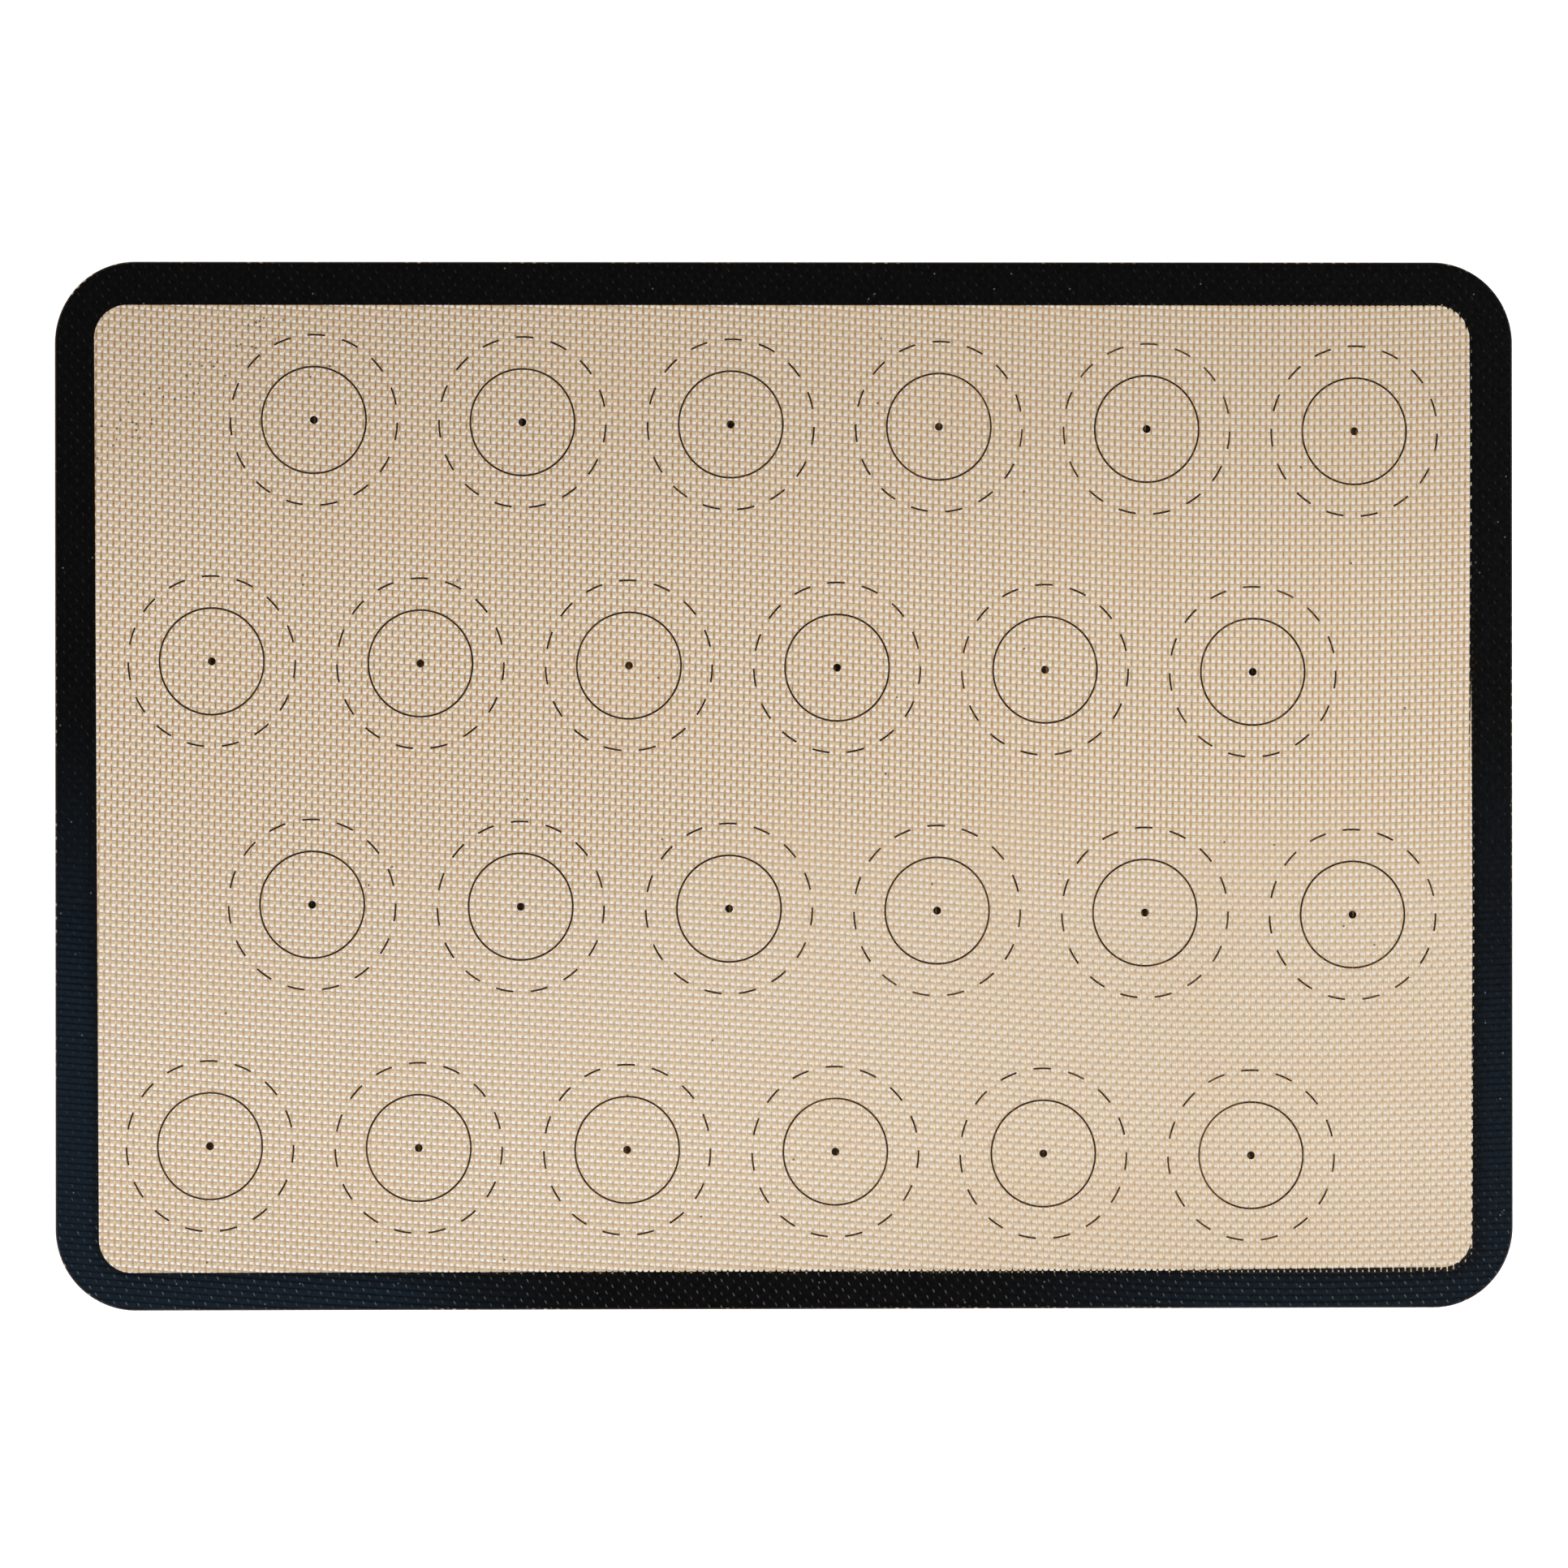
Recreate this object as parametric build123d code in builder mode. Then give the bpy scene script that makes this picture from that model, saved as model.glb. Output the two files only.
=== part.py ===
from build123d import *
import math
import os

os.makedirs("parts", exist_ok=True)

# Flexible baking mat, lying flat and seen from its printed face
# X runs along its length, Y along its width and Z up through its layers
# The origin is the middle of the face that lies on the tray, all lengths in mm
# The guide marks, their margins and the border add up to a 420 x 295 mm half-sheet mat

# Layers, the same above and below the cloth
cloth_thickness = 0.30
coat_thickness = 0.18
border_skin = 0.08

# Black border, printed a little out of square on the mat
mat_corner_radius = 23.0
side_border = 11.75
top_border = 12.1
bottom_border = 10.6
edge_wrap = 0.6
edge_round_share = 0.35
window_corner_radius = 9.5
window_lean_angle = 0.26

# Guide marks, printed on the coat inside the border
row_count = 4
column_count = 6
ink_thickness = 0.03
line_width = 0.5
centre_dot_diameter = 2.3
piping_diameter = 30.0
spread_room = 9.0
dash_count = 15
dash_angle = 10.9
first_dash_angle = 13.3
top_row_dash_turn = -2.4

# Layout of the guide marks, rows a little turned and columns a little leaning
column_gap = 12.0
row_gap = 20.2
row_stagger = 29.1
side_margin = 9.7
end_margin = 9.85
print_shift_x = -0.7
print_shift_y = 0.05
row_turn_angle = -0.60
column_lean_angle = -0.26

# Heights of the layers above the tray
bottom_coat_base = border_skin
cloth_base = bottom_coat_base + coat_thickness
top_coat_base = cloth_base + cloth_thickness
coat_top = top_coat_base + coat_thickness
mat_thickness = coat_top + border_skin

# Guide marks in their rows and columns
spread_diameter = piping_diameter + 2 * spread_room
column_pitch = spread_diameter + column_gap
row_pitch = spread_diameter + row_gap
print_length = (column_count - 1) * column_pitch + row_stagger + spread_diameter
print_width = (row_count - 1) * row_pitch + spread_diameter

# Open field round the guide marks, and the mat round the field
window_length = print_length + 2 * side_margin
window_width = print_width + 2 * end_margin
mat_length = window_length + 2 * side_border
mat_width = window_width + top_border + bottom_border
window_middle_y = (bottom_border - top_border) / 2
window_lean = window_width / 2 * math.tan(math.radians(window_lean_angle))
print_middle_x = print_shift_x
print_middle_y = window_middle_y + print_shift_y
print(f"mat {mat_length:.2f} x {mat_width:.2f} x {mat_thickness:.2f} mm")


def mat_outline(inset):
    """Sketch the mat's rounded outline, drawn in by the inset."""
    RectangleRounded(
        mat_length - 2 * inset, mat_width - 2 * inset, mat_corner_radius - inset
    )


def layer_plane(height):
    """Plane of a layer at a height above the tray."""
    return Plane.XY.offset(height)


def mark_plane(row, column):
    """Plane on the coat at the middle of one guide mark."""
    across = (column - (column_count - 1) / 2) * column_pitch
    across += row_stagger / 2 if row % 2 == 0 else -row_stagger / 2
    up = ((row_count - 1) / 2 - row) * row_pitch
    turn = math.radians(row_turn_angle)
    lean = math.radians(column_lean_angle)
    x = print_middle_x + across * math.cos(turn) - up * math.sin(lean)
    y = print_middle_y + across * math.sin(turn) + up * math.cos(lean)
    return Plane(origin=(x, y, coat_top))


def save(piece, name):
    """Label a finished piece and write its file."""
    piece.label = name
    export_step(piece, f"parts/{name}.step")


# Open field inside the border, its sides leaning a little
with BuildSketch() as window:
    with BuildLine():
        Polyline(
            (-window_length / 2 - window_lean, window_middle_y + window_width / 2),
            (window_length / 2 - window_lean, window_middle_y + window_width / 2),
            (window_length / 2 + window_lean, window_middle_y - window_width / 2),
            (-window_length / 2 + window_lean, window_middle_y - window_width / 2),
            close=True,
        )
    make_face()
    fillet(window.vertices(), radius=window_corner_radius)

# Woven glass cloth, the core that keeps the mat from stretching
with BuildPart() as glass_cloth:
    with BuildSketch(layer_plane(cloth_base)):
        mat_outline(edge_wrap)
    extrude(amount=cloth_thickness)
save(glass_cloth.part, "glass_cloth")

# Clear silicone coat on the tray side of the cloth
with BuildPart() as bottom_coat:
    with BuildSketch(layer_plane(bottom_coat_base)):
        mat_outline(edge_wrap)
    extrude(amount=coat_thickness)
save(bottom_coat.part, "bottom_coat")

# Clear silicone coat on the printed side of the cloth
with BuildPart() as top_coat:
    with BuildSketch(layer_plane(top_coat_base)):
        mat_outline(edge_wrap)
    extrude(amount=coat_thickness)
save(top_coat.part, "top_coat")

# Black silicone border, wrapped round the cut edge and over both coats
with BuildPart() as border_band:
    with BuildSketch():
        mat_outline(0)
    extrude(amount=mat_thickness)
    outer_edges = border_band.faces().filter_by(Axis.Z).edges()
    fillet(outer_edges, radius=mat_thickness * edge_round_share)
    with BuildSketch(layer_plane(border_skin)):
        mat_outline(edge_wrap)
    extrude(amount=mat_thickness - 2 * border_skin, mode=Mode.SUBTRACT)
    with BuildSketch():
        add(window.sketch)
    extrude(amount=mat_thickness, mode=Mode.SUBTRACT)
save(border_band.part, "border_band")

# One dash of the spread circle, drawn about the circle's middle
with BuildSketch() as dash:
    SlotArc(CenterArc((0, 0), spread_diameter / 2, 0, dash_angle), line_width)

# Guide marks, one set at each place of the staggered rows
for row in range(row_count):
    row_dash_angle = first_dash_angle + (top_row_dash_turn if row == 0 else 0)
    for column in range(column_count):
        with BuildPart() as piping_circle:
            with BuildSketch(mark_plane(row, column)):
                Circle((piping_diameter + line_width) / 2)
                Circle((piping_diameter - line_width) / 2, mode=Mode.SUBTRACT)
            extrude(amount=ink_thickness)
        save(piping_circle.part, f"piping_circle_r{row + 1}_c{column + 1}")

        with BuildPart() as spread_circle:
            with BuildSketch(mark_plane(row, column)):
                with PolarLocations(0, dash_count, start_angle=row_dash_angle):
                    add(dash.sketch)
            extrude(amount=ink_thickness)
        save(spread_circle.part, f"spread_circle_r{row + 1}_c{column + 1}")

    with BuildPart() as centre_dots:
        for column in range(column_count):
            with BuildSketch(mark_plane(row, column)):
                Circle(centre_dot_diameter / 2)
        extrude(amount=ink_thickness)
    save(centre_dots.part, f"centre_dots_row_{row + 1}")
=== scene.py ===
import math

import bmesh
import bpy
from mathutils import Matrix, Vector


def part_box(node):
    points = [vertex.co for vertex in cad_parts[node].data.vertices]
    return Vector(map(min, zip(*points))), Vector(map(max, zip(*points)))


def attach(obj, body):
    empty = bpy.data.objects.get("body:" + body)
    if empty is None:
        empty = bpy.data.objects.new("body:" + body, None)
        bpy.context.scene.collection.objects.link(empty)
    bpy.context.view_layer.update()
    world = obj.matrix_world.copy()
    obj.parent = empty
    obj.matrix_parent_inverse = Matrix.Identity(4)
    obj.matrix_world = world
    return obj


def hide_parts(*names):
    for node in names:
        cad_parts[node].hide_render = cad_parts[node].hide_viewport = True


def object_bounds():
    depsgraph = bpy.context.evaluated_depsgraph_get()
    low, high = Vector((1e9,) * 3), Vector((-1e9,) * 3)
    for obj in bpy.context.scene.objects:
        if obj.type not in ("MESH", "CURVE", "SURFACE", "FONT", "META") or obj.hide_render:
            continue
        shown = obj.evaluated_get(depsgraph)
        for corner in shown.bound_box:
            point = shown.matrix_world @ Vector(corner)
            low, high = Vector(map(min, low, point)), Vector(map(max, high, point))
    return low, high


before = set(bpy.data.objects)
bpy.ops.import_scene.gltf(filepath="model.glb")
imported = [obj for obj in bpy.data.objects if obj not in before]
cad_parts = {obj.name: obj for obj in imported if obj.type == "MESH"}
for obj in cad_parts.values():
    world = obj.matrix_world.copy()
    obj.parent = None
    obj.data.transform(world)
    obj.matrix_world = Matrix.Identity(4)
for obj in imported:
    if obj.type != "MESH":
        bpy.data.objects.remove(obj)        # metres: X along the mat's length, Y along its width, Z up from the tray
cadLow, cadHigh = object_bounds()
matLength = cadHigh.x - cadLow.x
matWidth = cadHigh.y - cadLow.y
matTop = cadHigh.z
millimetre = 0.001
print("frame loaded, mat", round(matLength, 4), "x", round(matWidth, 4), "m")


def seen(red, green, blue):
    # a colour as the eye reads it, 0 to 255, as the linear colour that Blender wants
    parts = [part / 255 for part in (red, green, blue)]
    return tuple(((part + 0.055) / 1.055) ** 2.4 for part in parts) + (1.0,)


class Wire:
    # one output of a node tree, so that node maths reads as plain sums
    def __init__(self, graph, socket):
        self.graph = graph
        self.socket = socket

    def math(self, operation, *others):
        return self.graph.maths(operation, self, *others)

    def __add__(self, other):
        return self.math("ADD", other)

    def __radd__(self, other):
        return self.math("ADD", other)

    def __sub__(self, other):
        return self.math("SUBTRACT", other)

    def __rsub__(self, other):
        return self.graph.maths("SUBTRACT", other, self)

    def __mul__(self, other):
        return self.math("MULTIPLY", other)

    def __rmul__(self, other):
        return self.math("MULTIPLY", other)

    def __truediv__(self, other):
        return self.math("DIVIDE", other)

    def __abs__(self):
        return self.math("ABSOLUTE")

    def __neg__(self):
        return self.math("MULTIPLY", -1)


class Graph:
    # builds one node tree, for a material, the world or geometry
    def __init__(self, tree):
        self.tree = tree
        tree.nodes.clear()

    def add(self, kind, settings=None, values=None):
        made = self.tree.nodes.new(kind)
        for name, value in (settings or {}).items():
            setattr(made, name, value)
        for key, value in (values or {}).items():
            if isinstance(value, Wire):
                self.tree.links.new(value.socket, made.inputs[key])
            else:
                made.inputs[key].default_value = value
        return made

    def wire(self, kind, output=0, settings=None, values=None):
        return Wire(self, self.add(kind, settings, values).outputs[output])

    def maths(self, operation, *terms):
        return self.wire("ShaderNodeMath", 0, {"operation": operation}, dict(enumerate(terms)))

    def ramp(self, value, low, high, start=0.0, end=1.0):
        # eases from start at low to end at high
        values = {"Value": value, "From Min": low, "From Max": high, "To Min": start, "To Max": end}
        return self.wire("ShaderNodeMapRange", 0, {"interpolation_type": "SMOOTHSTEP"}, values)

    def band(self, distance, half, soft):
        # 1 near the middle, eased to 0 round half
        return self.ramp(abs(distance), half - soft, half + soft, 1.0, 0.0)

    def blend(self, share, first, second):
        # second over first, by share
        return self.wire("ShaderNodeMix", 2, {"data_type": "RGBA"}, {0: share, 6: first, 7: second})

    def tint(self, share, first, second):
        # first multiplied by second, by share
        settings = {"data_type": "RGBA", "blend_type": "MULTIPLY"}
        return self.wire("ShaderNodeMix", 2, settings, {0: share, 6: first, 7: second})

    def split(self, vector):
        made = self.add("ShaderNodeSeparateXYZ", None, {0: vector})
        return [Wire(self, output) for output in made.outputs]

    def join(self, x, y, z):
        return self.wire("ShaderNodeCombineXYZ", 0, None, {0: x, 1: y, 2: z})

    def noise(self, spot, scale):
        return self.wire("ShaderNodeTexNoise", 0, None, {"Vector": spot, "Scale": scale, "Detail": 2.0})


# Weave of the glass cloth, which every skin follows. Columns run along Y and rows along X.
weave = {
    "columnPitch": 1.747 * millimetre,
    "rowPitch": 1.873 * millimetre,
    "columnLean": math.tan(math.radians(0.46)),
    "columnSway": 0.05 * millimetre,
    "columnSwayLength": 30 * millimetre,
    "rowSlope": 0.0754,       # rows fall towards +X
    "rowSway": 0.39 * millimetre,
    "rowSwayStart": 48 * millimetre,
    "rowSwayLength": 37 * millimetre,
    "bendStart": 80 * millimetre,
    "rowBend": 0.475,         # per metre, lifts the rows again past bendStart
}


def columnSway(y):
    return (y / weave["columnSwayLength"]).math("SINE") * weave["columnSway"] + y * weave["columnLean"]


def rowDrop(x):
    late = (x - weave["bendStart"]).math("MAXIMUM", 0)
    sway = ((x - weave["rowSwayStart"]) / weave["rowSwayLength"]).math("SINE") * weave["rowSway"]
    return x * weave["rowSlope"] - late * late * weave["rowBend"] + sway


def toWeave(x, y):
    # column and row number of a place on the mat, rows counted downwards
    column = (x - columnSway(y)) / weave["columnPitch"]
    row = (y + rowDrop(x)) / -weave["rowPitch"]
    return column, row


def fromWeave(column, row):
    # the place on the mat of a column and row number
    roughY = row * -weave["rowPitch"] - rowDrop(column * weave["columnPitch"])
    x = column * weave["columnPitch"] + columnSway(roughY)
    y = row * -weave["rowPitch"] - rowDrop(x)
    return x, y


# Places and sizes inside one cell of the weave, in cells
cellShape = {
    "padPlace": 0.7,         # middle of a pad, down from the step above it
    "deepPlace": 0.35,       # middle of a deep stretch of a column line
    "hookPlace": -0.65,      # middle of a pale hook on a column line
    "groove": (0.16, 0.16),  # half width and softness
    "pad": (0.28, 0.2),
    "hook": (0.3, 0.2),
    "hookFill": 0.55,        # how much of the groove a hook fills
    "valley": 0.6,           # depth between two pads, beside the groove's
}


class Near:
    # signed distances, in cells, from the marks of the weave round a place
    def __init__(self, column, row):
        self.line = column.math("WRAP", 0.5, -0.5)     # column line
        line = column - self.line
        self.pad = (row - cellShape["padPlace"]).math("WRAP", 0.5, -0.5)
        self.step = row.math("WRAP", 0.5, -0.5)        # step at a pad's foot
        self.deep = (row + line - cellShape["deepPlace"]).math("WRAP", 1, -1)
        self.hook = (row + line - cellShape["hookPlace"]).math("WRAP", 1, -1)


def hollow(graph, column, row):
    # 0 on the crest of a pad, 1 in the deepest groove
    near = Near(column, row)
    hook = graph.band(near.hook, *cellShape["hook"])
    groove = graph.band(near.line, *cellShape["groove"]) * (1.0 - hook * cellShape["hookFill"])
    valley = (1.0 - graph.band(near.pad, *cellShape["pad"])) * cellShape["valley"]
    return groove + valley - groove * valley


# Outlines, in metres, taken from the frame
outline = {
    "cornerRadius": 23 * millimetre,
    "windowRadius": 9.5 * millimetre,
    "windowLean": 0.618 * millimetre,    # sideways shift of the window's top and bottom edges
    "windowRise": -0.75 * millimetre,    # middle of the window above the mat's middle
    "sideBorder": 11.75 * millimetre,
    "windowWidth": 272.3 * millimetre,
}
windowLength = matLength - 2 * outline["sideBorder"]
windowSlope = 2 * outline["windowLean"] / outline["windowWidth"]


def outside(graph, x, y, length, width, radius):
    # distance past a rounded rectangle, negative inside it near its edge
    alongX = (abs(x) - (length / 2 - radius)).math("MAXIMUM", 0)
    alongY = (abs(y) - (width / 2 - radius)).math("MAXIMUM", 0)
    return (alongX * alongX + alongY * alongY).math("SQRT") - radius


def pastWindow(graph, x, y):
    level = y - outline["windowRise"]
    return outside(graph, x + level * windowSlope, level, windowLength, outline["windowWidth"],
                   outline["windowRadius"])


def pastMat(graph, x, y):
    return outside(graph, x, y, matLength, matWidth, outline["cornerRadius"])


def newMaterial(name):
    made = bpy.data.materials.new(name)
    made.use_nodes = True
    return made, Graph(made.node_tree)


def finishMaterial(graph, values):
    surface = graph.wire("ShaderNodeBsdfPrincipled", 0, None, values)
    graph.add("ShaderNodeOutputMaterial", None, {"Surface": surface})


def objectPlace(graph):
    spot = graph.wire("ShaderNodeTexCoord", "Object")
    x, y = graph.split(spot)[:2]
    return spot, x, y


def cellChance(graph, column, row):
    # one random value for each cell
    cell = graph.join(column.math("FLOOR"), row.math("FLOOR"), 0.0)
    return graph.wire("ShaderNodeTexWhiteNoise", 0, {"noise_dimensions": "2D"}, {"Vector": cell})


def specks(graph, spot, scale, channel, radii):
    # round specks, one in each cell of a Voronoi pattern, and a random value for each
    cells = graph.add("ShaderNodeTexVoronoi", {"voronoi_dimensions": "2D"}, {"Vector": spot, "Scale": scale})
    pick = graph.split(Wire(graph, cells.outputs["Color"]))[channel]
    return graph.ramp(Wire(graph, cells.outputs["Distance"]), *radii, 1.0, 0.0), pick


def bumped(graph, height, depth):
    values = {"Height": height, "Strength": 1.0, "Distance": depth}
    return graph.wire("ShaderNodeBump", 0, None, values)


# Clear silicone over the cloth: pale pads on the yarns, their white partly the yarn's own and partly painted sheen,
# tan between them, brown column lines.
# Late colours belong to the lower right of the mat.
coatLook = {
    "tan": seen(213, 190, 159),
    "lightTan": seen(221, 196, 161),
    # the cream colours are a painted highlight along each pad's upper rim
    "cream": seen(247, 240, 230),
    # pad colours are the yarn's white with painted sheen; the lower pad colour is painted light, used towards the
    # mat's lower edge
    "pad": seen(242, 240, 243),
    "lowPadLit": seen(252, 252, 255),
    # the step colours are painted shadow under each pad's foot
    "step": seen(160, 145, 132),
    "brown": seen(157, 107, 30),
    "grey": seen(180, 150, 114),
    "hook": seen(250, 231, 204),
    "glint": seen(253, 243, 226),
    "lateCreamHighlight": seen(228, 212, 190),
    "latePad": seen(231, 223, 214),
    # painted highlight on the core of a late pad
    "lateCoreHighlight": seen(250, 248, 248),
    "lateTan": seen(213, 190, 159),
    "lateStepShade": seen(186, 165, 142),
    "lateBrown": seen(184, 149, 106),
    "peach": seen(241, 213, 178),
    "stain": seen(214, 172, 126),
    # painted shade, multiplied in towards the upper and lower edges and in the upper corners
    "paintedShade": (0.78, 0.76, 0.74, 1.0),
    "speck": seen(70, 52, 40),
    "ink": seen(8, 8, 8),
    "roughness": 0.34,
    "bumpDepth": 0.03 * millimetre,
    "cloudScale": 22.0,
    "speckleScale": 1500.0,
    "speckScale": 900.0,
    "speckRadii": (0.2, 0.42),
    "speckShare": 0.0004,
    "trailShare": 0.1,        # share of specks in the trail
}
# Where the coat changes, in metres: start and end, and the values there unless they are 0 and 1
coatZones = {
    "glintsDown": (0.0, 0.06),
    "glintsWander": 0.05,     # how far the clouds shift that
    "glintsRight": (-0.2, 0.08, 0.45, 1.0),
    "calmRight": (-0.16, 0.12),
    "calmWander": 0.08,
    # painted light: pads whiter towards the lower edge
    "padsLitDown": (0.0, 0.12),
    # painted shade: darker towards the upper and lower edges and in the upper corners, most at the left
    "shadeUp": (0.04, 0.12, 0.0, 0.28),
    "shadeDown": (0.1, 0.135, 0.0, 0.2),
    "corner": (0.15, 0.27),
    "cornerShadeRight": (-0.1, 0.1, 1.0, 0.3),
    "trailEnd": (-0.15, -0.143, 1.0, 0.0),
    "cut": (0.22, 0.33),
}
# Pads on the yarns. Places and sizes are in cells, and a pair is a half width and its softness
# or the start and end of a change.
pads = {
    "bow": 0.9,               # rounds the rims
    "lateRise": 0.23,         # late pads are taller
    "oddDrop": 0.2,           # but every second one is less so
    "half": 0.3,
    "soft": 0.2,
    "calmNarrower": 0.05,
    "lateWider": 0.03,
    "foot": (0.84, 1.0),
    "lateFoot": 0.14,
    # where the painted cream highlight starts and ends on a pad
    "cream": (0.4, 0.55),
    "calmCream": (0.1, 0.05),
    "creamChance": 0.2,
    "crest": (0.55, 0.76),
    "lateCrest": (0.12, 0.08),
    "crestChance": 0.15,
    # painted highlight on a late pad's core
    "core": (0.08, 0.14),
    "corePlace": 0.66,
    "coreRise": (0.1, 0.14),
    "coreShare": 0.75,
    # painted shadow on the step under a pad
    "step": (0.36, 0.16),
    "stepHalf": 0.07,
    "lateStepThicker": 0.05,
    "lateStepUp": 0.03,
    "calmStepFade": 0.2,
    "lateStepFade": 0.3,
}
# Column lines between the pads, and the pale marks on them
lines = {
    "line": (0.13, 0.13),
    "deepHalf": 0.37,
    "deepSoft": 0.2,
    "glintDeepShorter": 0.1,
    "glintFade": 0.3,
    "calmFade": 0.2,
    "lateFade": 0.6,
    "lateLine": (0.09, 0.08),
    "lateLineRight": 0.05,
    "lateLineLength": (0.27, 0.15),
    "lateLineUp": 0.52,
    "lateSpot": (0.1, 0.09),
    "lateSpotLeft": 0.15,
    "lateSpotLength": (0.12, 0.1),
    "lateSpotUp": 0.13,
    "lateSpotShare": 0.7,
    "hook": (0.1, 0.1),
    "hookLength": (0.18, 0.3),
    "hookBendStart": 0.1,
    "hookBendEnd": 0.35,
    "hookBend": 0.5,
    "hookCalmFade": 0.5,
    "hookGlintFade": 0.4,
    "hookLateGain": 0.3,
    "glint": (0.09, 0.08),
    "glintLeft": 0.06,
    "glintDown": 0.27,
    "glintLength": (0.3, 0.52),
    "glintPaler": (-0.1, 0.3),
    "glintShare": 0.9,
}
# Grain, clouds, painted shade and the trail of specks over the whole coat, in metres and shares
coatTone = {
    "grain": (0.3, 0.75, 0.0, 0.1),
    "clouds": (0.45, 0.7, 0.0, 0.08),
    # how the painted shade in the upper corners leans and how strong it is
    "cornerShadeLean": 0.6,
    "cornerShadeShare": 0.25,
    "trailX": -0.175,
    "trailY": 0.111,
    "trailSlope": 0.68,
    "trail": (0.005, 0.005),     # half width and softness
    "speckShare": 0.85,
}
# How far black silicone has run over the coat from the border, in millimetres
blackRun = {
    "raggedLean": 0.8,
    "ragged": (-0.05, 0.15),     # in metres, from straight to ragged
    "hookShield": 0.7,
    "padHold": 0.2,
    "grooveRun": 0.65,
    "cutRun": 0.8,
    "sliverHold": 0.9,
    "grainRun": 0.12,
    "start": 0.03,
    "soft": 0.08,
}
# Heights of the painted marks in the coat's bump
coatRelief = {"cream": 0.5, "line": 0.5, "hook": 0.5, "glint": 0.3}


def raggedness(graph, x, y):
    # the border's inner edge is straight at the upper left and ragged at the lower right
    return graph.ramp(x - y * blackRun["raggedLean"], *blackRun["ragged"])


def hookMark(graph, near, shift):
    # pale hook of yarn across a column line
    mark = graph.band(near.line + shift, *lines["hook"])
    return mark * graph.ramp(abs(near.hook), *lines["hookLength"], 1.0, 0.0)


def glintMark(graph, near):
    # long pale glint beside a column line
    mark = graph.band(near.line + lines["glintLeft"], *lines["glint"])
    return mark * graph.ramp(abs(near.deep - lines["glintDown"]), *lines["glintLength"], 1.0, 0.0)


def varied(chance, spread):
    # a factor of 1 at most, less by up to spread
    return 1 - spread + chance * spread


def lowered(graph, value, span, share, less):
    # a change whose start and end move down with share
    return graph.ramp(value, span[0] - share * less[0], span[1] - share * less[1])


class CoatSpot:
    # what the layers of the coat need to know about a place on the mat
    def __init__(self, graph):
        self.spot, self.x, self.y = objectPlace(graph)
        self.column, self.row = toWeave(self.x, self.y)
        self.near = Near(self.column, self.row)
        self.middle = 0.5 - abs(self.near.line)     # distance from a pad's middle, across it
        self.level = self.row.math("FRACT")         # 0 on the step under one pad, 1 on the next
        self.chance = cellChance(graph, self.column, self.row)
        self.cloudy = graph.noise(self.spot, coatLook["cloudScale"])
        self.speckle = graph.noise(self.spot, coatLook["speckleScale"])
        # long pale glints on the column lines, strongest towards the lower right
        wander = (self.cloudy - 0.5) * coatZones["glintsWander"]
        self.glints = graph.ramp(-self.y + wander, *coatZones["glintsDown"])
        self.glints = self.glints * graph.ramp(self.x, *coatZones["glintsRight"])
        # calmer cloth on the right, softest at the lower right
        wander = (self.cloudy - 0.5) * coatZones["calmWander"]
        self.calm = graph.ramp(self.x + wander, *coatZones["calmRight"])
        self.late = self.glints * self.calm


def padLayers(graph, at):
    # a pad has a painted cream highlight along its upper rim and is cooler below, with a painted shadow on the step
    # at its foot
    odd = ((at.column.math("FLOOR") + at.row.math("FLOOR")) / 2).math("FRACT") * 2.0
    bow = at.middle * at.middle * pads["bow"]
    rise = at.level + at.late * (pads["lateRise"] - odd * pads["oddDrop"]) - bow
    half = pads["half"] - at.calm * pads["calmNarrower"] + at.late * pads["lateWider"]
    footStart, footEnd = pads["foot"]
    wide = graph.band(at.middle, half, pads["soft"])
    wide = wide * graph.ramp(at.level + bow, footStart - at.late * pads["lateFoot"], footEnd, 1.0, 0.0)
    at.creamShare = wide * lowered(graph, rise, pads["cream"], at.calm, pads["calmCream"])
    at.padShare = wide * lowered(graph, rise, pads["crest"], at.late, pads["lateCrest"])
    at.padShare = at.padShare * varied(at.chance, pads["crestChance"])
    colour = graph.blend(at.calm, coatLook["tan"], coatLook["lightTan"])
    colour = graph.blend(at.late, colour, coatLook["lateTan"])
    # painted highlight along the pad's upper rim
    cream = graph.blend(at.late, coatLook["cream"], coatLook["lateCreamHighlight"])
    creamShare = at.creamShare * varied(at.chance, pads["creamChance"])
    colour = graph.blend(creamShare, colour, cream)
    # painted light: pads whiter towards the mat's lower edge, where the light comes from
    pad = graph.blend(graph.ramp(-at.y, *coatZones["padsLitDown"]), coatLook["pad"], coatLook["lowPadLit"])
    colour = graph.blend(at.padShare, colour, graph.blend(at.late, pad, coatLook["latePad"]))
    # painted highlight on the core of each late pad
    core = graph.band(at.middle, *pads["core"])
    core = core * graph.band(at.level - pads["corePlace"], *pads["coreRise"])
    colour = graph.blend(core * at.late * pads["coreShare"], colour, coatLook["lateCoreHighlight"])
    # painted shadow on the step at the pad's foot
    thick = at.late * pads["lateStepThicker"] + pads["stepHalf"]
    step = graph.band(at.near.step + bow + at.late * pads["lateStepUp"], thick, thick)
    step = step * graph.band(at.middle, *pads["step"])
    step = step * (1.0 - at.calm * pads["calmStepFade"]) * (1.0 - at.late * pads["lateStepFade"])
    return graph.blend(step, colour, graph.blend(at.late, coatLook["step"], coatLook["lateStepShade"]))


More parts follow.
